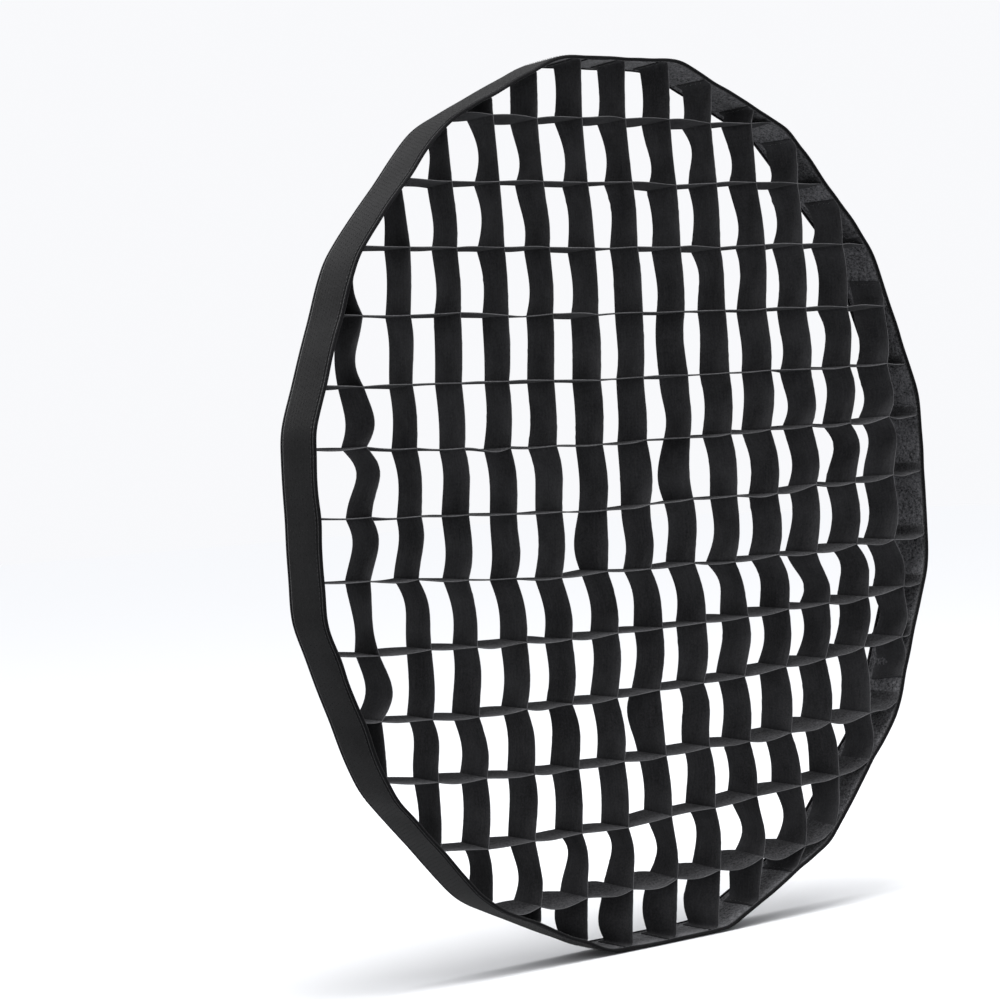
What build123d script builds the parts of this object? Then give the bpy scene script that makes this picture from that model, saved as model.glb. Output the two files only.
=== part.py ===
from build123d import *
import os
from math import cos, radians, sin, tan

# A cloth egg-crate grid for the mouth of a round, sixteen-ribbed softbox.
# Millimetres. X runs across the face, +Y into the softbox and +Z up.
# The origin is the middle of the rim, halfway between its front and rear edges.

# The rim: a cloth band closed into a loop, one straight side between each pair of ribs.
RIM_SIDES = 16
RIM_ACROSS_FLATS = 700
RIM_WIDTH = 42
RIM_LEAN = tan(radians(5))  # the band leans in towards the rear, as the softbox wall does
CORNER_RADIUS = 16

# Its layers, from the outside in.
HOOK_THICKNESS = 1.6
BAND_THICKNESS = 1.2
BINDING_THICKNESS = 0.6
BINDING_WIDTH = 3
HOOK_MARGIN = 3.5  # from each edge of the rim to the hook tape
HOOK_GAP = 4  # between the two cut ends of the hook tape
LAP_WIDTH = 24  # where the two ends of the band overlap
LAP_CENTRE_X = -24

# The lattice: upright and level strips of doubled cloth, slotted halfway into each other.
STRIP_COUNT = 13
PITCH = 50
LATTICE_SHIFT_X = 4  # the lattice sits this far to the right of the rim's middle
STRIP_DEPTH = 30
STRIP_THICKNESS = 1.0
SLOT_WIDTH = 1.2
TAB_LENGTH = 6  # the folded strip end that is sewn flat to the band
NEAREST_CROSSING = 5  # a crossing stands at least this far inside the band

# Sewing thread.
TACK_LENGTH = 5
TACK_WIDTH = 0.8
TAB_TACK_LENGTH = 20
STITCH_HEIGHT = 0.4
STITCH_WIDTH = 0.8

FRONT = -RIM_WIDTH / 2
REAR = RIM_WIDTH / 2
BAND_OUTSIDE = HOOK_THICKNESS
BAND_INSIDE = BAND_OUTSIDE + BAND_THICKNESS
TAB_INSIDE = BAND_INSIDE + STRIP_THICKNESS
BINDING_OUTSIDE = BAND_OUTSIDE - BINDING_THICKNESS
BINDING_INSIDE = BAND_INSIDE + BINDING_THICKNESS
STRIP_FRONT = FRONT + BINDING_WIDTH
STRIP_REAR = STRIP_FRONT + STRIP_DEPTH
STRIP_MIDDLE = (STRIP_FRONT + STRIP_REAR) / 2
SIDE_ANGLE = 360 / RIM_SIDES
PAST = 1  # how far a cutter runs past what it cuts

MIDDLE_STRIP = (STRIP_COUNT - 1) / 2
COLUMN_X = [LATTICE_SHIFT_X + (i - MIDDLE_STRIP) * PITCH for i in range(STRIP_COUNT)]
ROW_Z = [(MIDDLE_STRIP - i) * PITCH for i in range(STRIP_COUNT)]

os.makedirs("parts", exist_ok=True)


def apothem(y, inset):
    """Half the distance across the rim's flats at depth y, inset from its outermost face."""
    return RIM_ACROSS_FLATS / 2 - inset - (y - FRONT) * RIM_LEAN


def fill_rim(inset, start, end, mode=Mode.ADD):
    """Fill the rim's outline, inset from its outermost face, from one depth to another."""
    outlines = []
    for y in (start, end):
        with BuildSketch(Plane.XZ.offset(-y)) as outline:
            RegularPolygon(
                apothem(y, inset), RIM_SIDES, major_radius=False, rotation=SIDE_ANGLE / 2
            )
            fillet(outline.vertices(), CORNER_RADIUS)
        outlines.append(outline.sketch)
    loft(outlines, ruled=True, mode=mode)


def end_of_line(offset, y, inset):
    """Where a straight line at this offset from the middle meets the rim: how far along
    the line, and the angle of the side's normal from the offset direction."""
    reach = []
    for side in range(1, RIM_SIDES // 4 + 1):
        angle = radians(side * SIDE_ANGLE)
        along = (apothem(y, inset) - abs(offset) * cos(angle)) / sin(angle)
        reach.append((along, side * SIDE_ANGLE))
    return min(reach)


def crosses(x, z):
    """True if the strips at x and z cross well inside the rim."""
    limit = end_of_line(x, STRIP_FRONT, BAND_INSIDE)
    slope = sin(radians(limit[1]))
    return abs(z) < limit[0] - NEAREST_CROSSING / slope


def write(built, label):
    built.part.label = label
    export_step(built.part, f"parts/{label}.step")


# --- The rim ---------------------------------------------------------------------------

# The overlap that closes the band into a loop: a second layer inside the top side.
with BuildPart() as lap:
    fill_rim(BAND_INSIDE, STRIP_FRONT, REAR - BINDING_WIDTH)
    fill_rim(BAND_INSIDE + BAND_THICKNESS, FRONT, REAR, mode=Mode.SUBTRACT)
    with Locations((LAP_CENTRE_X, 0, RIM_ACROSS_FLATS / 2)):
        Box(LAP_WIDTH, RIM_WIDTH, RIM_WIDTH, mode=Mode.INTERSECT)

with BuildPart() as rim_band:
    fill_rim(BAND_OUTSIDE, FRONT + BINDING_THICKNESS, REAR - BINDING_THICKNESS)
    fill_rim(BAND_INSIDE, FRONT - PAST, REAR + PAST, mode=Mode.SUBTRACT)
    add(lap.part)
write(rim_band, "rim_band")

# The hook tape that grips the softbox, round the outside of the band.
with BuildPart() as hook_tape:
    fill_rim(0, FRONT + HOOK_MARGIN, REAR - HOOK_MARGIN)
    fill_rim(BAND_OUTSIDE, FRONT, REAR, mode=Mode.SUBTRACT)
    with Locations((LAP_CENTRE_X, 0, RIM_ACROSS_FLATS / 2)):
        Box(HOOK_GAP, RIM_WIDTH, RIM_WIDTH, mode=Mode.SUBTRACT)
write(hook_tape, "hook_tape")


def edge_binding(edge, inwards):
    """A narrow tape folded over one edge of the band. inwards is +1 or -1 along Y."""
    bottom = edge + inwards * BINDING_THICKNESS
    lip = edge + inwards * BINDING_WIDTH
    with BuildPart() as binding:
        fill_rim(BINDING_OUTSIDE, edge, lip)
        fill_rim(BAND_OUTSIDE, bottom, lip + inwards * PAST, mode=Mode.SUBTRACT)
        fill_rim(BAND_INSIDE, bottom, lip)
        fill_rim(BINDING_INSIDE, edge - inwards * PAST, lip + inwards * PAST, mode=Mode.SUBTRACT)
    return binding


def stitch_row(y, inset):
    """One row of thread round the inside of the rim."""
    with BuildPart() as row:
        fill_rim(inset, y - STITCH_WIDTH / 2, y + STITCH_WIDTH / 2)
        fill_rim(inset + STITCH_HEIGHT, y - STITCH_WIDTH, y + STITCH_WIDTH, mode=Mode.SUBTRACT)
    return row


write(edge_binding(FRONT, 1), "front_binding")
write(edge_binding(REAR, -1), "rear_binding")
write(stitch_row(FRONT + BINDING_WIDTH / 2, BINDING_INSIDE), "front_stitching")
write(stitch_row(REAR - BINDING_WIDTH / 2, BINDING_INSIDE), "rear_stitching")

# --- The lattice -----------------------------------------------------------------------

# All the room that the strips can fill.
with BuildPart() as room:
    fill_rim(BAND_INSIDE, STRIP_FRONT, STRIP_REAR)


def tab_span(place, upright):
    """The run of a strip's end tabs across the strip, and where the middle of it is.
    Upright strips fold their ends to the left, and level ones fold them upwards."""
    side_normal = end_of_line(place, STRIP_MIDDLE, BAND_INSIDE)[1]
    run = TAB_LENGTH * sin(radians(side_normal))
    middle = (run + STRIP_THICKNESS) / 2
    return run, place + (-middle if upright else middle)


def turned(upright, across, y, along):
    """A point or a size given across and along a strip, as X, Y and Z."""
    return (across, y, along) if upright else (along, y, across)


def lattice_strip(place, crossing_places, upright):
    """One strip that crosses the rim at this place, from band to band. An upright strip
    has its slots open at the rear, and a level one at the front."""
    slot_middle = STRIP_MIDDLE + (STRIP_DEPTH if upright else -STRIP_DEPTH) / 2
    slots = [turned(upright, place, slot_middle, other) for other in crossing_places]
    with BuildPart() as strip:
        with Locations(turned(upright, place, STRIP_MIDDLE, 0)):
            Box(*turned(upright, STRIP_THICKNESS, STRIP_DEPTH, RIM_ACROSS_FLATS))
        add(room.part, mode=Mode.INTERSECT)
        with Locations(*slots):
            Box(SLOT_WIDTH, STRIP_DEPTH, SLOT_WIDTH, mode=Mode.SUBTRACT)
    return strip


for number, x in enumerate(COLUMN_X, start=1):
    rows_crossed = [z for z in ROW_Z if crosses(x, z)]
    write(lattice_strip(x, rows_crossed, upright=True), f"column_strip_{number:02d}")

for number, z in enumerate(ROW_Z, start=1):
    columns_crossed = [x for x in COLUMN_X if crosses(x, z)]
    write(lattice_strip(z, columns_crossed, upright=False), f"row_strip_{number:02d}")

# The folded ends of all the strips, which lie flat on the band beside each strip.
with BuildPart() as strip_end_tabs:
    fill_rim(BAND_INSIDE, STRIP_FRONT, STRIP_REAR)
    fill_rim(TAB_INSIDE, STRIP_FRONT - PAST, STRIP_REAR + PAST, mode=Mode.SUBTRACT)
    with BuildSketch(Plane.XZ) as tab_places:
        for x in COLUMN_X:
            run, middle = tab_span(x, upright=True)
            with Locations((middle, 0)):
                Rectangle(run, RIM_ACROSS_FLATS)
        for z in ROW_Z:
            run, middle = tab_span(z, upright=False)
            with Locations((0, middle)):
                Rectangle(RIM_ACROSS_FLATS, run)
    extrude(amount=RIM_WIDTH, both=True, mode=Mode.INTERSECT)
write(strip_end_tabs, "strip_end_tabs")

# --- The sewing that holds the lattice --------------------------------------------------

# Two short bars of thread in the corner of each crossing, near the front and rear edges.
corner = (STRIP_THICKNESS + TACK_WIDTH) / 2
tack_ys = (STRIP_FRONT + TACK_LENGTH, STRIP_REAR - TACK_LENGTH)
crossings = [(x, z) for x in COLUMN_X for z in ROW_Z if crosses(x, z)]
with BuildPart() as crossing_tacks:
    with Locations(*[(x + corner, y, z + corner) for x, z in crossings for y in tack_ys]):
        Box(TACK_WIDTH, TACK_LENGTH, TACK_WIDTH)
write(crossing_tacks, "crossing_tacks")

# One bar of thread down the middle of each folded tab, on its inner face.
tack_front = STRIP_MIDDLE - TAB_TACK_LENGTH / 2
tack_rear = STRIP_MIDDLE + TAB_TACK_LENGTH / 2
with BuildPart() as tab_tacks:
    fill_rim(TAB_INSIDE, tack_front, tack_rear)
    fill_rim(TAB_INSIDE + STITCH_HEIGHT, tack_front - PAST, tack_rear + PAST, mode=Mode.SUBTRACT)
    with BuildSketch(Plane.XZ) as tack_lines:
        with Locations(*[(tab_span(x, upright=True)[1], 0) for x in COLUMN_X]):
            Rectangle(STITCH_WIDTH, RIM_ACROSS_FLATS)
        with Locations(*[(0, tab_span(z, upright=False)[1]) for z in ROW_Z]):
            Rectangle(RIM_ACROSS_FLATS, STITCH_WIDTH)
    extrude(amount=RIM_WIDTH, both=True, mode=Mode.INTERSECT)
write(tab_tacks, "tab_tacks")

print("columns at x", COLUMN_X)
print("rows at z", ROW_Z)
print("crossings", len(crossings))
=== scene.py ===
import math

import bpy
import numpy as np
from mathutils import Matrix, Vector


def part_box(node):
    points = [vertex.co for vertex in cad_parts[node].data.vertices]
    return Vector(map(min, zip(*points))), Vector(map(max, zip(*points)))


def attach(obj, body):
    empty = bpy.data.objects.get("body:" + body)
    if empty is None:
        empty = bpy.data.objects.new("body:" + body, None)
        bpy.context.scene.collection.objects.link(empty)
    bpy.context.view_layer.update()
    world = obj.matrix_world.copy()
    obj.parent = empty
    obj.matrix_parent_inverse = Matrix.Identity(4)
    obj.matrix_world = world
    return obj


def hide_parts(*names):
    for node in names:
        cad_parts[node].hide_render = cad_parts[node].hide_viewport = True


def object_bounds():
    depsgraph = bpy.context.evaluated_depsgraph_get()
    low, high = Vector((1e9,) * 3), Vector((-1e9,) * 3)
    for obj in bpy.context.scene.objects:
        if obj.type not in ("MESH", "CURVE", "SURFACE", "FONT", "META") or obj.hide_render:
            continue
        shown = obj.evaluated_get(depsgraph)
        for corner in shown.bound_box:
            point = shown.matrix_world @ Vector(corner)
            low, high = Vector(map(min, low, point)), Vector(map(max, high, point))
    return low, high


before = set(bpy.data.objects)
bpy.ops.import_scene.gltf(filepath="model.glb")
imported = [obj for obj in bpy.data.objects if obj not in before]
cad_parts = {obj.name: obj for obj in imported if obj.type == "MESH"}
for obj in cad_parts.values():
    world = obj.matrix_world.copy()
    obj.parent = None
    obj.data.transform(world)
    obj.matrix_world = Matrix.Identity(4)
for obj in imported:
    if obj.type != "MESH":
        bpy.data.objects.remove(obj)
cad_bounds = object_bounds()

# A cloth egg-crate grid: waving strips of black cloth sewn inside a sixteen-sided band.
# Metres. X runs across the face, +Y into the softbox and +Z up.

MM = 0.001
rng = np.random.default_rng(23)

# ---- Sizes taken from the frame ------------------------------------------------------

STRIP_COUNT = sum(name.startswith("column_strip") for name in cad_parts)


def middle(node, axis):
    low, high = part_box(node)
    return (low[axis] + high[axis]) / 2


LATTICE_SHIFT = 2 * MM  # the cloth hangs this far to the right of the CAD's strips
COLUMN_X = LATTICE_SHIFT + np.array(
    [middle(f"column_strip_{i + 1:02d}", 0) for i in range(STRIP_COUNT)]
)
ROW_Z = np.array([middle(f"row_strip_{i + 1:02d}", 2) for i in range(STRIP_COUNT)])
STRIP_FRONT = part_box("column_strip_07")[0][1]
STRIP_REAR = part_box("column_strip_07")[1][1]
STRIP_DEPTH = STRIP_REAR - STRIP_FRONT
PITCH = abs(ROW_Z[1] - ROW_Z[0])

RIM_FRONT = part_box("front_binding")[0][1]
RIM_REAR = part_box("rear_binding")[1][1]
FRONT_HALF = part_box("front_binding")[1][0]
REAR_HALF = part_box("rear_binding")[1][0]
BINDING_WIDTH = 3 * MM
RIM_LEAN = (FRONT_HALF - REAR_HALF) / (RIM_REAR - BINDING_WIDTH - RIM_FRONT)

# The layers of the rim, inset from its outermost face.
BINDING_OUTSIDE = 1.0 * MM
BAND_OUTSIDE = 1.6 * MM
BAND_INSIDE = 2.8 * MM
BINDING_INSIDE = 3.4 * MM
HALF_CLOTH = 0.42 * MM
HALF_FOLD = 0.55 * MM

# ---- The rim's shape -----------------------------------------------------------------

SIDES = 16
SIDE_ANGLES = np.arange(SIDES) * 2 * math.pi / SIDES
CORNER_SHARPNESS = 150.0
PULL_WIDTH = 15 * MM
REAR_PULL = 0.5  # the share of each pull that is lost at the rear
MEET_STEPS = 12
FIRST_GUESS = 0.3
LEAST_SQUARE = 1e-6  # keeps the square root real beside the rim


def apothem(y, inset):
    """Half the distance across the rim's flats."""
    return FRONT_HALF + BINDING_OUTSIDE - inset - (y - RIM_FRONT) * RIM_LEAN


def plain_radius(theta, y, inset):
    """The rim's radius with softened corners and nothing pulling on it."""
    facing = np.maximum(np.cos(np.asarray(theta)[..., None] - SIDE_ANGLES), 0.0)
    norm = (facing**CORNER_SHARPNESS).sum(-1) ** (1 / CORNER_SHARPNESS)
    return apothem(y, inset) / norm


def meet(offset, upright, sign, y, radius_at):
    """How far along the line at this offset the rim lies, from a radius function."""
    along = np.full_like(y, FIRST_GUESS)
    for _ in range(MEET_STEPS):
        theta = angle_of(offset, along * sign, upright)
        radius = radius_at(theta, y)
        along = np.sqrt(np.maximum(radius**2 - offset**2, LEAST_SQUARE))
    return along * sign


def angle_of(across, along, upright):
    return np.arctan2(along, across) if upright else np.arctan2(across, along)


def rightward(x):
    """0 up to a little right of the middle, growing to 1 at the last columns."""
    return np.clip((x - 20 * MM) / (240 * MM), 0, 1) ** 1.5


# How the cloth has crept as it hangs. Upright strips right of the middle drift further to
# the right. The lists are in millimetres, from the top row down: how far the crossings at
# the left and right of each row slide sideways, how far the row sags and tilts, and how
# far its two ends climb.
COLUMN_CREEP = 2 * MM * rightward(COLUMN_X)
ROW_SLIDE_LEFT = np.array([-1, 3, 4, 3, 0, -1, -1, -6, 1, -2, 1, -2, -2]) * MM
ROW_SLIDE_RIGHT = np.array([-4, -1, 2, 2, 2, -1, 1, -2, 8, 0, 2, 8, 12]) * MM
ROW_SAG = np.array([0, 0, 1, 2, 3, 3, 4, 4, 2, 1, 2, 1, 0]) * MM
ROW_TILT = np.array([0, 0, 1, 0, 1, 0, 0, -3, 0, 6, 2, 6, 8]) * MM
ROW_LEFT_RISE = np.array([2, 2, 4, 4, 5, 8, 9, 9, 7, 11, 12, 9, 4]) * MM
ROW_RIGHT_RISE = np.array([0, 0, -1, -1, -1, 5, 8, 7, 10, 10, 11, 10, 9]) * MM
RISE_REACH = 0.3  # the distance from the middle at which a row has its full rise
RISE_LIMIT = 1.15
RISE_POWER = 2.2
ROW_END = 0.32  # about where the rows end, for their height at the rim


def row_lift(j, x):
    """How far row j is raised at this x: it sags in the middle and climbs at its ends."""
    side = np.clip(np.asarray(x) / RISE_REACH, -RISE_LIMIT, RISE_LIMIT)
    most = np.where(side < 0, ROW_LEFT_RISE[j], ROW_RIGHT_RISE[j])
    return most * np.abs(side) ** RISE_POWER + ROW_TILT[j] * side - ROW_SAG[j]


def end_place(index, upright, sign):
    """The strip's place across its run where it meets the rim."""
    if upright:
        return COLUMN_X[index] + COLUMN_CREEP[index]
    return ROW_Z[index] + row_lift(index, sign * ROW_END)


def strip_end_angles():
    flat = np.array(0.0)
    angles = []
    for upright in (True, False):
        for index in range(STRIP_COUNT):
            for sign in (-1, 1):
                place = end_place(index, upright, sign)
                along = meet(
                    place, upright, sign, flat,
                    lambda theta, y: plain_radius(theta, y, BAND_INSIDE),
                )
                angles.append(float(angle_of(place, along, upright)))
    return np.array(angles)


PULL_ANGLES = strip_end_angles()
PULL_DEPTHS = rng.uniform(0.2, 1.1, len(PULL_ANGLES)) * MM
WAVE_PHASES = rng.uniform(0, 2 * math.pi, 6)
WAVE_COUNTS = np.array([19, 27, 38, 45, 61, 83])
WAVE_HEIGHTS = np.array([0.22, 0.20, 0.16, 0.14, 0.08, 0.05]) * MM


def rim_radius(theta, y, inset):
    """The rim as it hangs: pulled in where strips are sewn, a little wavy between."""
    theta = np.asarray(theta, float)
    turn = theta[..., None] - PULL_ANGLES
    turn = (turn + math.pi) % (2 * math.pi) - math.pi
    near = np.exp(-((turn * FRONT_HALF / PULL_WIDTH) ** 2))
    pull = (near * PULL_DEPTHS).sum(-1)
    wave = (np.sin(theta[..., None] * WAVE_COUNTS + WAVE_PHASES) * WAVE_HEIGHTS).sum(-1)
    rearward = np.clip((y - RIM_FRONT) / (RIM_REAR - RIM_FRONT), 0, 1)
    pull = pull * (1 - REAR_PULL * rearward)
    return plain_radius(theta, y, inset) - pull + wave * (1 - rearward)


def rim_point(theta, y, inset):
    radius = rim_radius(theta, y, inset)
    y = np.broadcast_to(y, radius.shape)
    return np.stack([radius * np.cos(theta), y, radius * np.sin(theta)], -1)


# ---- Materials -----------------------------------------------------------------------


class Nodes:
    """A short way to build a node tree."""

    def __init__(self, name):
        self.material = bpy.data.materials.new(name)
        self.material.use_nodes = True
        self.tree = self.material.node_tree
        self.shader = self.tree.nodes["Principled BSDF"]

    def add(self, kind, inputs=None, **settings):
        node = self.tree.nodes.new(kind)
        for key, value in settings.items():
            setattr(node, key, value)
        for key, value in (inputs or {}).items():
            if isinstance(value, bpy.types.NodeSocket):
                self.tree.links.new(value, node.inputs[key])
            else:
                node.inputs[key].default_value = value
        return node

    def link(self, output, socket):
        self.tree.links.new(output, self.shader.inputs[socket])

    def maths(self, operation, a, b=0.0):
        return self.add("ShaderNodeMath", {0: a, 1: b}, operation=operation).outputs[0]

    def weighted(self, first, *others):
        """The sum of values, each given with its weight."""
        total = self.maths("MULTIPLY", *first)
        for value, weight in others:
            total = self.maths("ADD", total, self.maths("MULTIPLY", value, weight))
        return total

    def noise(self, place, scale, detail, roughness=0.5):
        inputs = {"Vector": place, "Scale": scale, "Detail": detail, "Roughness": roughness}
        return self.add("ShaderNodeTexNoise", inputs).outputs["Fac"]

    def bump(self, height, strength, distance):
        inputs = {"Height": height, "Strength": strength, "Distance": distance}
        self.link(self.add("ShaderNodeBump", inputs).outputs["Normal"], "Normal")

    def finish(self, **levels):
        """Sets the shader's own inputs, with no mirror-like shine, and gives the material."""
        self.shader.inputs["Specular IOR Level"].default_value = 0.0
        for key, level in levels.items():
            self.shader.inputs[key.replace("_", " ")].default_value = level
        return self.material

    def ramp(self, value, low, high, start=0.0, end=1.0):
        node = self.add("ShaderNodeValToRGB", {"Fac": value})
        first, last = node.color_ramp.elements
        first.position, first.color = start, (*low, 1)
        last.position, last.color = end, (*high, 1)
        return node.outputs["Color"]


GRAIN_SCALE, PATCH_SCALE = 620.0, 28.0
STREAK_SCALE = (50.0, 520.0, 1.0)  # long down the strip and narrow over it
NAP_AND_PATCH = 0.82  # what these two weigh together
CLOTH_TONES = (0.36, 0.72)
FLECK_SCALE, FIBRE_SCALE, WORN_SCALE = 420.0, 780.0, 60.0
BRUSHED_TONES = (0.42, 0.72)


def cloth_material(name, dark, light, sheen, thread=0.55 * MM, nap=0.45):
    """Woven cloth. Its threads follow the piece's own map, which is in metres."""
    n = Nodes(name)
    place = n.add("ShaderNodeUVMap", uv_map="weave").outputs["UV"]
    split = n.add("ShaderNodeSeparateXYZ", {0: place})
    turn = math.pi / thread
    warp = n.maths("SINE", n.maths("MULTIPLY", split.outputs["X"], turn))
    weft = n.maths("SINE", n.maths("MULTIPLY", split.outputs["Y"], turn))
    weave = n.maths("MULTIPLY", warp, weft)
    solid = n.add("ShaderNodeTexCoord").outputs["Object"]
    grain = n.noise(solid, GRAIN_SCALE, detail=4.0, roughness=0.8)
    drawn = n.add("ShaderNodeMapping", {"Vector": place, "Scale": STREAK_SCALE}).outputs["Vector"]
    streak = n.noise(drawn, 1.0, detail=2.0)
    patch = n.noise(solid, PATCH_SCALE, detail=4.0)
    mixed = n.weighted((grain, nap), (streak, 0.14), (patch, NAP_AND_PATCH - nap), (weave, 0.06))
    n.link(n.ramp(mixed, dark, light, *CLOTH_TONES), "Base Color")
    n.link(n.maths("ADD", n.maths("MULTIPLY", grain, 0.16), 0.82), "Roughness")
    height = n.weighted((weave, 0.35), (grain, 0.1 + nap))
    n.bump(height, strength=0.45, distance=0.25 * MM)
    return n.finish(Sheen_Weight=sheen, Sheen_Roughness=0.45)


def brushed_material(name, dark, light):
    """Brushed cloth: a short pile that shows as light and dark flecks."""
    n = Nodes(name)
    solid = n.add("ShaderNodeTexCoord").outputs["Object"]
    fleck = n.noise(solid, FLECK_SCALE, detail=4.0, roughness=0.8)
    cells = n.add("ShaderNodeTexVoronoi", {"Vector": solid, "Scale": FIBRE_SCALE})
    patch = n.noise(solid, WORN_SCALE, detail=3.0)
    mixed = n.weighted((fleck, 0.75), (patch, 0.2), (cells.outputs["Distance"], 0.15))
    n.link(n.ramp(mixed, dark, light, *BRUSHED_TONES), "Base Color")
    n.link(n.maths("ADD", n.maths("MULTIPLY", fleck, 0.15), 0.8), "Roughness")
    n.bump(fleck, strength=0.8, distance=0.5 * MM)
    return n.finish(Sheen_Weight=0.12, Sheen_Roughness=0.5)


def stage_material(name, colour):
    """A matt floor, very slightly uneven in tone."""
    n = Nodes(name)
    speck = n.add("ShaderNodeTexNoise", {"Scale": 3.0, "Detail": 2.0}).outputs["Fac"]
    near = tuple(c * 0.985 for c in colour)
    n.link(n.ramp(speck, near, colour), "Base Color")
    return n.finish(Roughness=0.95)


def grey(level, blue):
    """A grey that leans a little to blue."""
    return (level, level, blue)


# Each cloth is given its dark and its light tone.
STRIP_CLOTH = cloth_material(
    "strip_cloth", grey(0.0115, 0.0122), grey(0.0445, 0.047), sheen=0.02
)
# The rows' upper faces take their own cloth. Its flecks stand for the cloth's nap, and its
# lighter tone is painted light from above.
ROW_TOP_LIT_CLOTH = cloth_material(
    "row_cloth", grey(0.006, 0.0064), grey(0.075, 0.079), sheen=0.02, nap=0.7
)
# The strips' front edges take a lighter cloth: a painted highlight, a thin light line where the
# edges catch the light.
STRIP_EDGE_HIGHLIGHT = cloth_material(
    "strip_edge_painted_highlight", grey(0.040, 0.042), grey(0.120, 0.124), sheen=0.05
)
BAND_BACK = cloth_material(
    "band_back", grey(0.005, 0.0055), grey(0.014, 0.015), sheen=0.15
)
BAND_BRUSHED = brushed_material(
    "band_brushed", grey(0.002, 0.0025), grey(0.115, 0.122)
)
BINDING = cloth_material(
    "binding", grey(0.003, 0.0034), grey(0.009, 0.0095), sheen=0.06, thread=0.4 * MM
)
HOOK = cloth_material(
    "hook_tape", grey(0.004, 0.0042), grey(0.012, 0.0125), sheen=0.1, thread=0.5 * MM
)
THREAD = cloth_material(
    "thread", grey(0.010, 0.011), grey(0.032, 0.034), sheen=0.2, thread=0.12 * MM
)

# ---- Mesh helpers --------------------------------------------------------------------


def in_scene(name, data):
    """A new object for a mesh, a lamp or a camera."""
    made = bpy.data.objects.new(name, data)
    bpy.context.scene.collection.objects.link(made)
    return made


def piece(name, points, faces, materials, nodes, weave, face_material=None):
    """One smooth-shaded mesh that stands for CAD nodes and rides on the root."""
    mesh = bpy.data.meshes.new(name)
    mesh.from_pydata(np.asarray(points).reshape(-1, 3).tolist(), [], faces)
    layer = mesh.uv_layers.new(name="weave")
    corner_points = np.empty(len(mesh.loops), np.int32)
    mesh.loops.foreach_get("vertex_index", corner_points)
    layer.data.foreach_set("uv", np.asarray(weave, np.float32)[corner_points].ravel())
    for material in materials:
        mesh.materials.append(material)
    if face_material is not None:
        mesh.polygons.foreach_set("material_index", np.asarray(face_material, np.int32))
    mesh.polygons.foreach_set("use_smooth", np.ones(len(mesh.polygons), bool))
    mesh.update()
    made = in_scene(name, mesh)
    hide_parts(*nodes)
    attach(made, "root")
    return made


def grid_faces(rows, columns, wrap_rows=False, wrap_columns=False):
    """Quads of a grid of points, whose index is row * columns + column."""
    i = np.arange(rows if wrap_rows else rows - 1)
    j = np.arange(columns if wrap_columns else columns - 1)
    i, j = np.meshgrid(i, j, indexing="ij")
    a = i * columns + j
    b = i * columns + (j + 1) % columns
    c = ((i + 1) % rows) * columns + (j + 1) % columns
    d = ((i + 1) % rows) * columns + j
    return np.stack([a, b, c, d], -1).reshape(-1, 4).tolist()


def tubes(lines, widths, sides, helper):
    """Points, faces and weave map of many thin tubes along lines of points. widths are
    their radii at each point, and helper is a direction that no line runs along."""
    runs = np.gradient(lines, axis=1)
    length = np.linalg.norm(runs, axis=-1, keepdims=True)
    runs = runs / length
    side = np.cross(runs, helper)
    side = side / np.linalg.norm(side, axis=-1, keepdims=True)
    up = np.cross(runs, side)
    around = np.arange(sides) * 2 * math.pi / sides
    cosine, sine = np.cos(around)[:, None], np.sin(around)[:, None]
    ring = cosine * side[:, :, None, :] + sine * up[:, :, None, :]
    points = lines[:, :, None, :] + np.asarray(widths)[:, None, None] * ring
    stations = lines.shape[1]
    per = stations * sides
    one = grid_faces(stations, sides, wrap_columns=True)
    one += [list(range(sides))[::-1], list(range(per - sides, per))]
    faces = [[v + k * per for v in face] for k in range(len(lines)) for face in one]
    along = np.broadcast_to(np.cumsum(length, 1), points.shape[:3])
    girth = np.broadcast_to(around * widths[len(widths) // 2], points.shape[:3])
    return points.reshape(-1, 3), faces, np.stack([along, girth], -1).reshape(-1, 2)


THREAD_SHARES = np.array([0.0, 0.12, 0.5, 0.88, 1.0])
THREAD_TAPER = np.array([0.35, 0.85, 1.0, 0.85, 0.35])
THREAD_SIDES = 6


def thread_runs(starts, ends, radius):
    """Many short tapered lengths of thread."""
    starts, ends = np.asarray(starts), np.asarray(ends)
    run = ends - starts
    lines = starts[:, None, :] + THREAD_SHARES[None, :, None] * run[:, None, :]
    sideways = np.abs(run[:, :1]) > 0.8 * np.linalg.norm(run, axis=1, keepdims=True)
    helper = np.where(sideways, [[0.0, 0.0, 1.0]], [[1.0, 0.0, 0.0]])
    return tubes(lines, THREAD_TAPER * radius, THREAD_SIDES, helper[:, None, :])


# ---- The rim's pieces ----------------------------------------------------------------

RIM_STEPS = 1500


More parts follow.
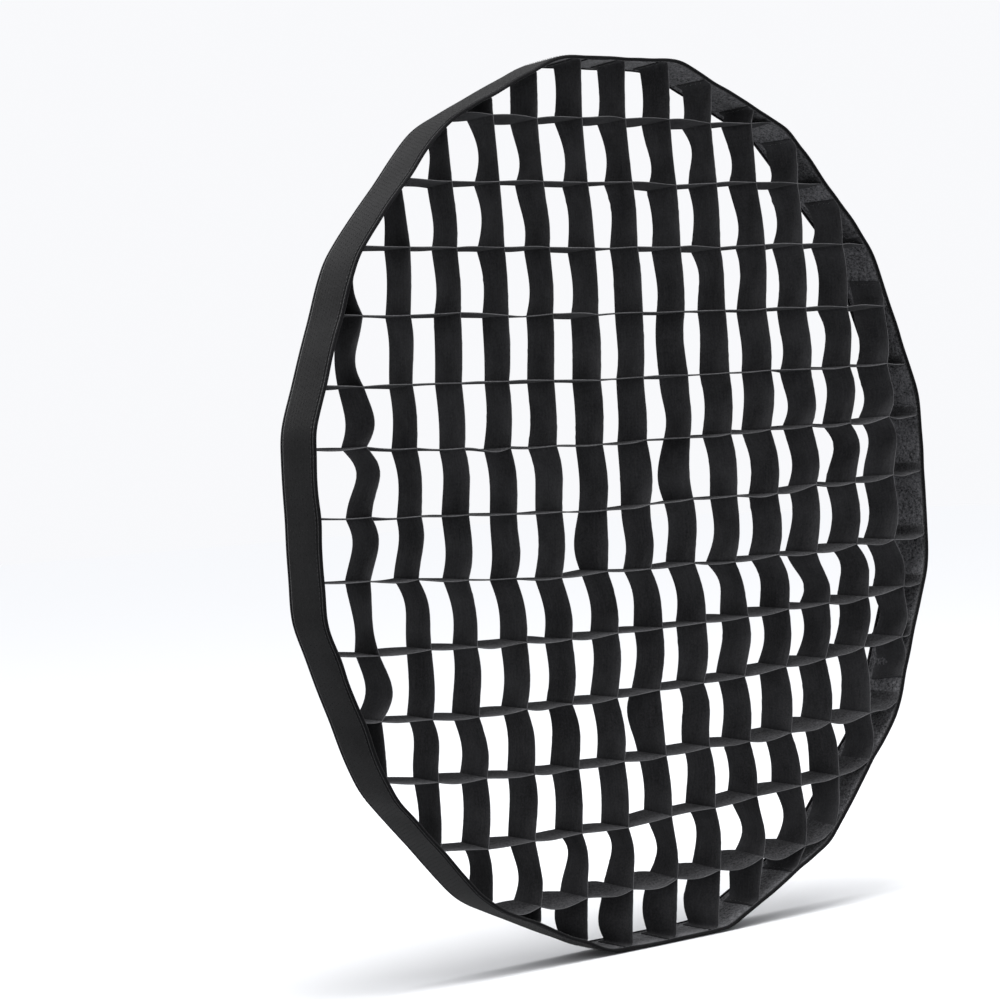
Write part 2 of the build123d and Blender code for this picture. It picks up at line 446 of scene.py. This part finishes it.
def rim_loop(name, profile, materials, nodes, span=None, rough=None, inner=None):
    """A closed profile of (y, inset) points carried round the rim, or along the span
    between two angles. rough is how far each profile point may stand off at random, and
    inner marks the points whose faces take the second material."""
    y, inset = np.array(profile).T
    if span is None:
        theta = np.arange(RIM_STEPS) * 2 * math.pi / RIM_STEPS
    else:
        steps = 2 + int((span[1] - span[0]) / (2 * math.pi) * RIM_STEPS)
        theta = np.linspace(*span, steps)
    steps, around = len(theta), len(y)
    grown = inset[None, :] + np.zeros((steps, 1))
    if rough is not None:
        grown = grown + rng.normal(0, 1, grown.shape) * np.array(rough)[None, :]
    points = rim_point(theta[:, None], y[None, :], grown)
    edge = np.hypot(np.diff(y, append=y[0]), np.diff(inset, append=inset[0]))
    across = np.concatenate([[0], np.cumsum(edge)[:-1]])
    weave = np.stack(np.broadcast_arrays((theta * FRONT_HALF)[:, None], across[None, :]), -1)
    faces = grid_faces(steps, around, wrap_rows=span is None, wrap_columns=True)
    marks = np.zeros(around, int) if inner is None else np.asarray(inner, int)
    marks = np.tile(marks, len(faces) // around)
    if span is not None:
        cap = list(range(around))
        faces += [cap[::-1], [v + (steps - 1) * around for v in cap]]
        marks = np.concatenate([marks, [0, 0]])
    return piece(name, points, faces, materials, nodes, weave.reshape(-1, 2), marks)


BAND_SHORT = 0.7 * MM  # how far the band stops short of the rim's front and rear
OUTER_LEVELS, INNER_LEVELS = 12, 34
PILE_ROUGHNESS = 0.14 * MM


def band_profile():
    """The band's section: a plain outer face and a finely divided inner one."""
    front, rear = RIM_FRONT + BAND_SHORT, RIM_REAR - BAND_SHORT
    outer = [(y, BAND_OUTSIDE) for y in np.linspace(rear, front, OUTER_LEVELS)]
    inner = [(y, BAND_INSIDE) for y in np.linspace(front, rear, INNER_LEVELS)]
    rough = [0.0] * (OUTER_LEVELS + 1) + [PILE_ROUGHNESS] * (INNER_LEVELS - 2) + [0.0]
    marks = [0] * OUTER_LEVELS + [1] * (INNER_LEVELS - 1) + [0]
    return outer + inner, rough, marks


profile, rough, marks = band_profile()
band = rim_loop(
    "rim_band_cloth", profile, [BAND_BACK, BAND_BRUSHED], ["rim_band"],
    rough=rough, inner=marks,
)


def binding_profile(edge, inwards):
    """A folded tape's section round one edge of the band."""
    lip = edge + inwards * BINDING_WIDTH
    shoulder, corner = edge + inwards * 0.9 * MM, edge + inwards * 0.25 * MM
    pressed, rounded = 0.15 * MM, 0.4 * MM
    outer_leg = [(lip, BAND_OUTSIDE), (lip, BINDING_OUTSIDE + pressed)]
    fold = [
        (shoulder, BINDING_OUTSIDE),
        (corner, BINDING_OUTSIDE + rounded),
        (edge, (BINDING_OUTSIDE + BINDING_INSIDE) / 2),
        (corner, BINDING_INSIDE - rounded),
        (shoulder, BINDING_INSIDE),
    ]
    inner_leg = [(lip, BINDING_INSIDE - pressed), (lip, BAND_INSIDE)]
    inside_fold = [((edge + lip) / 2, (BAND_INSIDE + BAND_OUTSIDE) / 2)]
    return outer_leg + fold + inner_leg + inside_fold


front_binding = rim_loop(
    "front_binding_tape", binding_profile(RIM_FRONT, 1), [BINDING], ["front_binding"]
)
rear_binding = rim_loop(
    "rear_binding_tape", binding_profile(RIM_REAR, -1), [BINDING], ["rear_binding"]
)

# The band's ends are joined by a lap at the top, where the hook tape also has its gap.
LAP_X = -24 * MM
LAP_WIDTH = 24 * MM
HOOK_GAP = 4 * MM
HOOK_PITCH = 3.4 * MM
LAP_ANGLE = math.pi / 2 - LAP_X / FRONT_HALF
TAPE_FRONT, TAPE_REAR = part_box("hook_tape")[0][1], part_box("hook_tape")[1][1]
TAPE_FACE = 0.8 * MM
TAPE_EDGE = TAPE_FACE + 0.1 * MM  # the tape thins a little towards its edges
TAPE_THINNING = 1.6 * MM
LAP_FACE = BAND_INSIDE + 0.9 * MM
LAP_LEVELS = 26
lap_front, lap_rear = RIM_FRONT + BINDING_WIDTH, RIM_REAR - BINDING_WIDTH
lap_turn, gap_turn = LAP_WIDTH / 2 / FRONT_HALF, HOOK_GAP / 2 / FRONT_HALF
tape_span = (LAP_ANGLE + gap_turn, LAP_ANGLE + 2 * math.pi - gap_turn)
hook_tape = rim_loop(
    "hook_tape_strip",
    [(TAPE_FRONT, BAND_OUTSIDE), (TAPE_FRONT, TAPE_EDGE),
     (TAPE_FRONT + TAPE_THINNING, TAPE_FACE), (TAPE_REAR - TAPE_THINNING, TAPE_FACE),
     (TAPE_REAR, TAPE_EDGE), (TAPE_REAR, BAND_OUTSIDE)],
    [HOOK], ["hook_tape"], span=tape_span,
)
lap = rim_loop(
    "rim_band_lap",
    [(lap_rear, BAND_INSIDE), (lap_front, BAND_INSIDE)]
    + [(y, LAP_FACE) for y in np.linspace(lap_front, lap_rear, LAP_LEVELS)],
    [BAND_BACK, BAND_BRUSHED], ["rim_band"],
    span=(LAP_ANGLE - lap_turn, LAP_ANGLE + lap_turn),
    inner=[0, 0] + [1] * (LAP_LEVELS - 1) + [0],
)


# Along a hook from its foot to its tip: its inset, how far it has leant, and its radius.
HOOK_INSETS = np.array([0.9, 0.4, 0.12, 0.22, 0.5]) * MM
HOOK_REACHES = np.array([0.0, 0.05, 0.45, 0.9, 1.1])
HOOK_RADII = np.array([0.13, 0.12, 0.11, 0.10, 0.07]) * MM
HOOK_SIDES = 3
HOOK_MARGINS = (3 * MM, 2.5 * MM)  # the bare edges of the tape, front and rear


def hook_lines():
    """Small bent hooks in rows on the tape: each rises, curls over and points down."""
    rows = np.arange(TAPE_FRONT + HOOK_MARGINS[0], TAPE_REAR - HOOK_MARGINS[1], HOOK_PITCH)
    turn = HOOK_PITCH / FRONT_HALF
    angles = np.arange(tape_span[0] + turn, tape_span[1] - turn, turn)
    theta, y = np.meshgrid(angles, rows)
    theta = theta + (np.arange(len(rows)) % 2)[:, None] * turn / 2
    theta, y = theta.ravel(), y.ravel()
    side = np.where(np.arange(theta.size) % 2, 1.0, -1.0)
    lean = side * rng.uniform(0.5, 0.8, theta.size) * MM
    return np.stack(
        [rim_point(theta + lean * reach / FRONT_HALF, y, inset)
         for inset, reach in zip(HOOK_INSETS, HOOK_REACHES)], 1
    )


points, faces, weave = tubes(hook_lines(), HOOK_RADII, HOOK_SIDES, np.array([0.0, 1.0, 0.0]))
hooks = piece("hook_tape_hooks", points, faces, [HOOK], ["hook_tape"], weave)


STITCH_PITCH = 3.4 * MM
STITCH_LENGTH = 2.5 * MM
STITCH_SLIP = 0.0002  # how unevenly the stitches are spaced, as an angle
STITCH_RADIUS = 0.26 * MM
TACK_RADIUS = 0.24 * MM


def rim_stitches(y, inset):
    """The ends of one row of stitches round the rim."""
    count = int(2 * math.pi * FRONT_HALF / STITCH_PITCH)
    theta = np.arange(count) * 2 * math.pi / count + rng.normal(0, STITCH_SLIP, count)
    half = STITCH_LENGTH / 2 / FRONT_HALF
    return rim_point(theta - half, y, inset), rim_point(theta + half, y, inset)


def stitch_piece(name, rows, node):
    starts = np.concatenate([row[0] for row in rows])
    ends = np.concatenate([row[1] for row in rows])
    points, faces, weave = thread_runs(starts, ends, STITCH_RADIUS)
    return piece(name, points, faces, [THREAD], [node], weave)


BINDING_SEAM, TAPE_SEAM = 1.9 * MM, 1.2 * MM  # how far each seam runs from its edge
front_y, rear_y = RIM_FRONT + BINDING_SEAM, RIM_REAR - BINDING_SEAM
tape_front_y, tape_rear_y = TAPE_FRONT + TAPE_SEAM, TAPE_REAR - TAPE_SEAM
front_stitching = stitch_piece(
    "front_stitching_thread",
    [rim_stitches(front_y, BINDING_INSIDE), rim_stitches(front_y, BINDING_OUTSIDE),
     rim_stitches(tape_front_y, TAPE_FACE)],
    "front_stitching",
)
rear_stitching = stitch_piece(
    "rear_stitching_thread",
    [rim_stitches(rear_y, BINDING_INSIDE), rim_stitches(rear_y, BINDING_OUTSIDE),
     rim_stitches(tape_rear_y, TAPE_FACE), rim_stitches(tape_rear_y, BAND_INSIDE)],
    "rear_stitching",
)

# ---- The lattice ---------------------------------------------------------------------

DEPTH_MARKS = np.array([0, 0.8, 2.2, 4.4, 5.2, 8, 12, 16, 20, 24, 27, 29, 30])
DEPTHS = DEPTH_MARKS / DEPTH_MARKS[-1] * STRIP_DEPTH
DEPTH_SHARES = DEPTHS / STRIP_DEPTH
CELL_STEPS = 14
TAB_LENGTH = 6 * MM
TAB_STEPS = 6
BEND = 2.2 * MM
NEAREST_CROSSING = 5 * MM
FOLD_DEPTH, FOLD_EASE = 4.4 * MM, 0.8 * MM  # the folded front edge, and where it thins out
HEM_DEPTH, HEM_EASE, HEM_EXTRA = 27 * MM, 2 * MM, 0.15 * MM
NOSE_HALF, NOSE_SLOPE = 0.25 * MM, 1.1  # how the cloth's thickness grows from its nose
EDGE_OVERHANG = 0.3 * MM
EDGE_WAVER = 0.12


def smooth(share):
    share = np.clip(share, 0, 1)
    return share * share * (3 - 2 * share)


# The strips lean inwards with the rim, so the lattice is this much smaller at its rear.
# The rows above the middle lean less, and those at the right lean more.
REAR_SHRINK = 0.011
UPPER_SHRINK = 0.3
RIGHT_SHRINK = 0.6
SLIDE_COLUMNS = (2, 9)  # a row's two slides are those at these columns
crossing_dx = rng.normal(0, 0.9, (STRIP_COUNT, STRIP_COUNT)) * MM
crossing_dz = rng.normal(0, 0.8, (STRIP_COUNT, STRIP_COUNT)) * MM
rear_dx = rng.normal(0, 1.0, (STRIP_COUNT, STRIP_COUNT)) * MM
rear_dz = rng.normal(0, 0.7, (STRIP_COUNT, STRIP_COUNT)) * MM


def crossing(k, j, depth_share):
    """X and Z of the crossing of column k and row j, at shares of the strip's depth."""
    slide = np.interp(k, SLIDE_COLUMNS, (ROW_SLIDE_LEFT[j], ROW_SLIDE_RIGHT[j]))
    x = COLUMN_X[k] + COLUMN_CREEP[k] + slide + crossing_dx[k, j]
    z = ROW_Z[j] + row_lift(j, COLUMN_X[k]) + crossing_dz[k, j]
    x_rear = rear_dx[k, j] - REAR_SHRINK * x
    shrink = REAR_SHRINK * z * (UPPER_SHRINK if z > 0 else 1)
    z_rear = rear_dz[k, j] - shrink * (1 + RIGHT_SHRINK * rightward(x))
    return x + x_rear * depth_share, z + z_rear * depth_share


def crosses(k, j):
    """True if column k and row j cross well inside the rim."""
    theta = math.atan2(ROW_Z[j], COLUMN_X[k])
    reach = plain_radius(np.array(theta), np.array(STRIP_FRONT), BAND_INSIDE)
    return math.hypot(ROW_Z[j], COLUMN_X[k]) < reach - NEAREST_CROSSING


# How far each cell's cloth bows, in millimetres. Columns bow to the right, and rows bow
# upwards. In the lists for columns the first number is for the cells above the top row.
COLUMN_FRONT_BOW = np.array([0, 0, 1, 1, 1, 2, 3, 3, 4, 3, 4, 2, 3, 0]) * MM
COLUMN_REAR_BOW = np.array([2, 8, 5, 3, 2, 2, 4, 4, 6, 4, 5, 3, 9, -8]) * MM
RIGHT_BOW = np.array([0, 1, 2, 2, 3, 5, 6, 3, 5, 4, 0, 3, 0, 0]) * MM
FIRST_COLUMN_BOW = np.array([0, 0, -12, -8, -9, 8, 7, 5, -5, 9, -4, -3, 0, 0]) * MM
ROW_FRONT_BOW = np.array([1, 0, 0, 0, 0, -1, -1, -1, -1, -1, -2, 0, -4]) * MM
ROW_REAR_BOW = np.array([-1, 0, 0, 0, 0, 0, 0, 0, 1, 1, 1, 0, 3]) * MM
# Cells that are pinched: column, row above, front bow and rear bow in millimetres.
PINCHES = ((7, 5, -3, -7), (5, 6, 1, -6), (6, 9, 0, -7), (7, 3, -3, -2), (1, 0, -4, -5))
# How unevenly the cells bow: a column's front and rear, and both edges of a row.
COLUMN_FRONT_SPREAD, COLUMN_REAR_SPREAD, ROW_SPREAD = 0.6, 1.4, 0.5
RIGHT_REAR_BOW = 1.5 * MM
FIRST_COLUMN_REAR = 0.8  # the first column's rear edge bows this share of its front
ROW_SWELL = 1.4 * MM  # rows gape at the right, and the top four do so the other way
LAST_TOP_ROW = 3
TOP_SWELL = -0.5
SKEW_SPREAD = 0.2


def column_bow(k, x, z):
    """The front and rear bow of an upright strip's cell whose middle is at x, z."""
    cell = int(np.clip(round((ROW_Z[0] - z) / PITCH + 0.5), 0, STRIP_COUNT))
    for column, row, front, rear in PINCHES:
        if (column, row) == (k, cell - 1):
            return front * MM, rear * MM
    front = COLUMN_FRONT_BOW[cell] + RIGHT_BOW[cell] * rightward(x)
    front = front + rng.normal(0, COLUMN_FRONT_SPREAD) * MM
    rear = COLUMN_REAR_BOW[cell] + (RIGHT_BOW[cell] + RIGHT_REAR_BOW) * rightward(x)
    rear = rear + rng.normal(0, COLUMN_REAR_SPREAD) * MM
    if k == 0:
        front = FIRST_COLUMN_BOW[cell] + front
        rear = FIRST_COLUMN_BOW[cell] * FIRST_COLUMN_REAR + rear
    return front, rear


def row_bow(j, x, z):
    """The front and rear bow of a level strip's cell whose middle is at x, z."""
    swell = ROW_SWELL * rightward(x) * (1 if j > LAST_TOP_ROW else TOP_SWELL)
    front = ROW_FRONT_BOW[j] - swell + rng.normal(0, ROW_SPREAD) * MM
    rear = ROW_REAR_BOW[j] + swell + rng.normal(0, ROW_SPREAD) * MM
    return front, rear


def bow(share, skew):
    return np.sin(math.pi * share) + skew * np.sin(2 * math.pi * share)


def strip_path(index, upright):
    """The strip's middle surface, as (across, along) for each step and depth, without its
    tabs. It runs from the band to the band through every crossing."""
    y = STRIP_FRONT + DEPTHS
    knots = []
    for other in range(STRIP_COUNT):
        k, j = (index, other) if upright else (other, index)
        if crosses(k, j):
            x, z = crossing(k, j, DEPTH_SHARES)
            knots.append((x, z) if upright else (z, x))
    knots.sort(key=lambda knot: knot[1][0])
    ends = []
    for sign in (-1, 1):
        place = end_place(index, upright, sign) * (1 - REAR_SHRINK * DEPTH_SHARES)
        reach = meet(
            place, upright, sign, y,
            lambda theta, y: rim_radius(theta, y, BAND_INSIDE + HALF_CLOTH),
        )
        ends.append((place, reach))
    knots = [ends[0], *knots, ends[1]]
    path = []
    for cell, ((a0, l0), (a1, l1)) in enumerate(zip(knots, knots[1:])):
        across, along = (a0[0] + a1[0]) / 2, (l0[0] + l1[0]) / 2
        if upright:
            front, rear = column_bow(index, across, along)
        else:
            front, rear = row_bow(index, along, across)
        skew = rng.normal(0, SKEW_SPREAD)
        size = np.clip(abs(l1[0] - l0[0]) / PITCH, 0.1, 1.0)
        bulge = (front + (rear - front) * smooth(DEPTH_SHARES)) * size
        last = cell == len(knots) - 2
        for step in range(CELL_STEPS + (1 if last else 0)):
            share = step / CELL_STEPS
            straight = a0 + (a1 - a0) * share
            path.append((straight + bulge * bow(share, skew), l0 + (l1 - l0) * share))
    return np.array(path).transpose(0, 2, 1)


def with_tabs(path, upright):
    """The path with its ends bent over and laid along the band. Upright strips fold their
    ends to the left, and level ones fold them upwards."""
    y = STRIP_FRONT + DEPTHS
    inset = BAND_INSIDE + HALF_CLOTH
    ends = []
    for end, sign in ((0, -1), (-1, 1)):
        corner = path[end]
        theta = angle_of(corner[:, 0], corner[:, 1], upright)
        laid = []
        for distance in np.linspace(BEND, TAB_LENGTH + BEND, TAB_STEPS):
            at = theta + sign * distance / FRONT_HALF
            radius = rim_radius(at, y, inset)
            x, z = radius * np.cos(at), radius * np.sin(at)
            laid.append(np.stack([x, z] if upright else [z, x], -1))
        inward = path[1:, :, :] if end == 0 else path[:-1, :, :][::-1]
        along = np.abs(inward[:, 0, 1] - corner[0, 1])
        keep = int(np.argmax(along > BEND))
        back = inward[keep]
        curve = []
        for share in (0.25, 0.5, 0.75):
            bent = (1 - share) ** 2 * back + 2 * share * (1 - share) * corner
            curve.append(bent + share**2 * laid[0])
        ends.append((keep + 1, curve + laid))
    (skip_low, low), (skip_high, high) = ends
    body = path[skip_low : len(path) - skip_high]
    return np.concatenate([np.array(low[::-1]), body, np.array(high)])


def strip_sheet(index, upright):
    """One strip of cloth with folded front edge, hemmed rear edge and laid end tabs."""
    path = with_tabs(strip_path(index, upright), upright)
    steps, levels = path.shape[:2]
    y = np.broadcast_to(STRIP_FRONT + DEPTHS, (steps, levels))
    across, along = path[..., 0], path[..., 1]
    surface = np.stack([across, y, along] if upright else [along, y, across], -1)
    down_strip = np.gradient(surface, axis=0)
    over_strip = np.gradient(surface, axis=1)
    normal = np.cross(down_strip, over_strip)
    normal = normal / np.linalg.norm(normal, axis=-1, keepdims=True)
    run = np.cumsum(np.linalg.norm(np.diff(surface[:, 0], axis=0), axis=1))
    run = np.concatenate([[0], run])
    folded = 1 - smooth((DEPTHS - FOLD_DEPTH) / FOLD_EASE)
    half = HALF_CLOTH + (HALF_FOLD - HALF_CLOTH) * folded
    half = half + HEM_EXTRA * smooth((DEPTHS - HEM_DEPTH) / HEM_EASE)
    half = np.minimum(half, NOSE_HALF + NOSE_SLOPE * DEPTHS)[None, :, None]
    one_face = surface + normal * half
    other_face = surface - normal * half
    waver = rng.normal(0, EDGE_WAVER, (2, steps, 1)) * MM
    still = np.zeros((steps, 1))
    nose = surface[:, :1] - np.stack([still, EDGE_OVERHANG + waver[0], still], -1)
    tail = surface[:, -1:] + np.stack([still, EDGE_OVERHANG + waver[1] * 2, still], -1)
    section = np.concatenate([nose, one_face, tail, other_face[:, ::-1]], 1)
    around = section.shape[1]
    faces = grid_faces(steps, around, wrap_columns=True)
    cap = list(range(around))
    faces += [cap[::-1], [v + (steps - 1) * around for v in cap]]
    across_map = np.concatenate([[0], DEPTHS, [STRIP_DEPTH], -DEPTHS[::-1]])
    weave = np.stack(
        [np.broadcast_to(run[:, None], (steps, around)),
         np.broadcast_to(across_map[None, :], (steps, around))], -1
    ).reshape(-1, 2)
    ring = np.zeros(around, int)
    # The faces round the front edge take the second material, a painted highlight along the edge.
    ring[[0, around - 1]] = 1
    cloth = [STRIP_CLOTH, STRIP_EDGE_HIGHLIGHT]
    # A level strip's upper faces take a lighter copy of its cloth, which is painted light from
    # above. Its undersides keep the plain cloth.
    if not upright:
        cloth.append(ROW_TOP_LIT_CLOTH)
        ring[1 : around // 2] = 2
    marks = np.concatenate([np.tile(ring, steps - 1), [0, 0]])
    node = f"{'column' if upright else 'row'}_strip_{index + 1:02d}"
    made = piece(f"{node}_cloth", section, faces, cloth, [node], weave, marks)
    return made, path


strips = {}
for upright in (True, False):
    for index in range(STRIP_COUNT):
        strips[upright, index] = strip_sheet(index, upright)
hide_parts("strip_end_tabs")

# ---- The sewing of the lattice -------------------------------------------------------


TACK_WRAPS = 4
TACK_WRAP_PITCH = 1.1 * MM
TACK_GAP, TACK_SPREAD = HALF_CLOTH + 0.1 * MM, 1.3 * MM
TACK_SLANT = 0.5 * MM
TACK_FRONT, TACK_REAR = 1.4 * MM, STRIP_DEPTH - 6 * MM


def crossing_tack_runs():
    """Short slanting wraps of thread in the corner of each crossing."""
    starts, ends = [], []
    for k in range(STRIP_COUNT):
        for j in range(STRIP_COUNT):
            if not crosses(k, j):
                continue
            for first in (TACK_FRONT, TACK_REAR):
                for wrap in range(TACK_WRAPS):
                    depth = first + wrap * TACK_WRAP_PITCH
                    x, z = crossing(k, j, depth / STRIP_DEPTH)
                    at = STRIP_FRONT + depth
                    starts.append((x + TACK_SPREAD, at, z + TACK_GAP))
                    ends.append((x + TACK_GAP, at + TACK_SLANT, z + TACK_SPREAD))
    return starts, ends


points, faces, weave = thread_runs(*crossing_tack_runs(), TACK_RADIUS)
piece("crossing_tack_thread", points, faces, [THREAD], ["crossing_tacks"], weave)

TAB_MIDDLES = (2, -3)  # the steps of a path that lie halfway along its two tabs
ZIGZAG_START = 5 * MM
ZIGZAG_STEPS = 8
ZIGZAG_PITCH = 2.6 * MM
ZIGZAG_HALF = 0.7 * MM
ZIGZAG_RISE = 0.15 * MM


def tab_tack_runs():
    """A zigzag of stitches down the middle of each folded strip end."""
    starts, ends = [], []
    for (upright, _), (_, path) in strips.items():
        for end in TAB_MIDDLES:
            for step in range(ZIGZAG_STEPS):
                depth = ZIGZAG_START + step * ZIGZAG_PITCH
                across = np.interp(depth, DEPTHS, path[end, :, 0])
                along = np.interp(depth, DEPTHS, path[end, :, 1])
                x, z = (across, along) if upright else (along, across)
                shrink = 1 - (HALF_CLOTH + ZIGZAG_RISE) / math.hypot(x, z)
                wide = ZIGZAG_HALF * (1 if step % 2 else -1)
                dx, dz = np.array([-z, x]) / math.hypot(x, z) * wide
                at = STRIP_FRONT + depth
                starts.append((x * shrink - dx, at, z * shrink - dz))
                ends.append((x * shrink + dx, at + ZIGZAG_PITCH, z * shrink + dz))
    return starts, ends


points, faces, weave = thread_runs(*tab_tack_runs(), TACK_RADIUS)
piece("tab_tack_thread", points, faces, [THREAD], ["tab_tacks"], weave)

# ---- Stage, light and camera ---------------------------------------------------------

FLOOR_Z = cad_bounds[0][2]
FLOOR_REACH = 9.0
FLOOR_COLOUR = (0.50, 0.505, 0.515)
WORLD_COLOUR = (0.945, 0.95, 0.97, 1)

floor_mesh = bpy.data.meshes.new("floor")
floor_mesh.from_pydata(
    [(x * FLOOR_REACH, y * FLOOR_REACH, FLOOR_Z)
     for x, y in ((-1, -1), (1, -1), (1, 1), (-1, 1))],
    [],
    [(0, 1, 2, 3)],
)
floor_mesh.materials.append(stage_material("pale_floor", FLOOR_COLOUR))
in_scene("floor", floor_mesh)

world = bpy.data.worlds.new("studio")
bpy.context.scene.world = world
world.use_nodes = True
background = world.node_tree.nodes["Background"]
background.inputs["Color"].default_value = WORLD_COLOUR
background.inputs["Strength"].default_value = 1.0


def aim(obj, location, target, roll=0.0):
    """Places a lamp or camera so that it looks at the target, turned about that line."""
    eye, goal = np.array(location, float), np.array(target, float)
    forward = (goal - eye) / np.linalg.norm(goal - eye)
    sideways = np.cross(forward, [0, 0, 1])
    sideways = sideways / np.linalg.norm(sideways)
    above = np.cross(sideways, forward)
    c, s = math.cos(roll), math.sin(roll)
    sideways, above = c * sideways - s * above, s * sideways + c * above
    columns = np.stack([sideways, above, -forward, eye], 1)
    obj.matrix_world = Matrix([*columns.tolist(), [0, 0, 0, 1]])


def lamp(name, kind, place, energy, **settings):
    """A light that looks at the middle of the frame."""
    light = bpy.data.lights.new(name, kind)
    light.energy = energy
    for key, value in settings.items():
        setattr(light, key, value)
    aim(in_scene(name, light), place, (0, 0, 0))


ABOVE = (-0.2, -0.35, 2.4)
lamp("overhead", "AREA", ABOVE, 85, shape="DISK", size=1.2)
lamp("ceiling", "SUN", ABOVE, 3.0, angle=math.radians(60))
lamp("key", "AREA", (-2.2, -2.4, 1.6), 8, shape="DISK", size=1.4)

# The camera stands to the left of the face and a little above its middle.
CAMERA_PLACE = (-2.117, -1.985, 0.067)
CAMERA_TARGET = (-0.161, -0.018, 0.009)
CAMERA_ROLL = math.radians(3.4)
CAMERA_LENS = 132.0
camera_data = bpy.data.cameras.new("camera")
camera_data.lens = CAMERA_LENS
camera_data.sensor_width = 36
camera_data.clip_end = 60
camera = in_scene("camera", camera_data)
aim(camera, CAMERA_PLACE, CAMERA_TARGET, CAMERA_ROLL)
bpy.context.scene.camera = camera
bpy.context.scene.view_settings.view_transform = "Standard"
